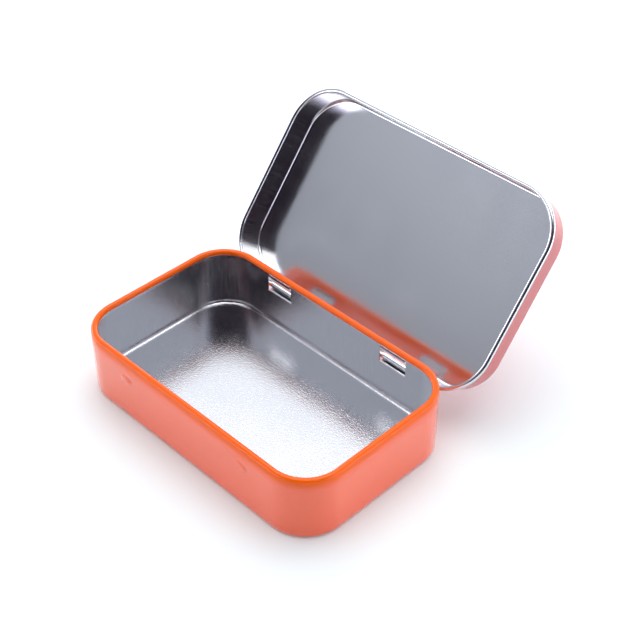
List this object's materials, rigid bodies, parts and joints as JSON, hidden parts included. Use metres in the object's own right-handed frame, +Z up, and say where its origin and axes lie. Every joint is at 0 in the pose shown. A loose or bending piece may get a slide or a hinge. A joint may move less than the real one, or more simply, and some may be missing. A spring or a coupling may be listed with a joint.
{
  "type": "hinged tin box",
  "caption": "Shallow rectangular tinplate box with round corners, a curled rim and a lid that swings open on curled tongues at the back.",
  "frame": {"origin": "middle of the tray's flat underside", "axes": "+Z up out of the tray's mouth, +Y towards the hinge side, +X to the right along the hinge, seen from the front"},
  "size_m": [0.0962, 0.1026, 0.0601],
  "materials": {
    "tray_enamel": "gloss",
    "lid_tinplate": "satin"
  },
  "bodies": {
    "base": {"tin_base": "tray_enamel"},
    "lid": {"tin_lid": "lid_tinplate"}
  },
  "joints": [
    {"name": "lid_hinge", "type": "hinge", "parent": "base", "child": "lid", "pos_m": [0, 0.0299, 0.0127], "axis": [1, 0, 0], "range_deg": [0, 128.8]}
  ]
}
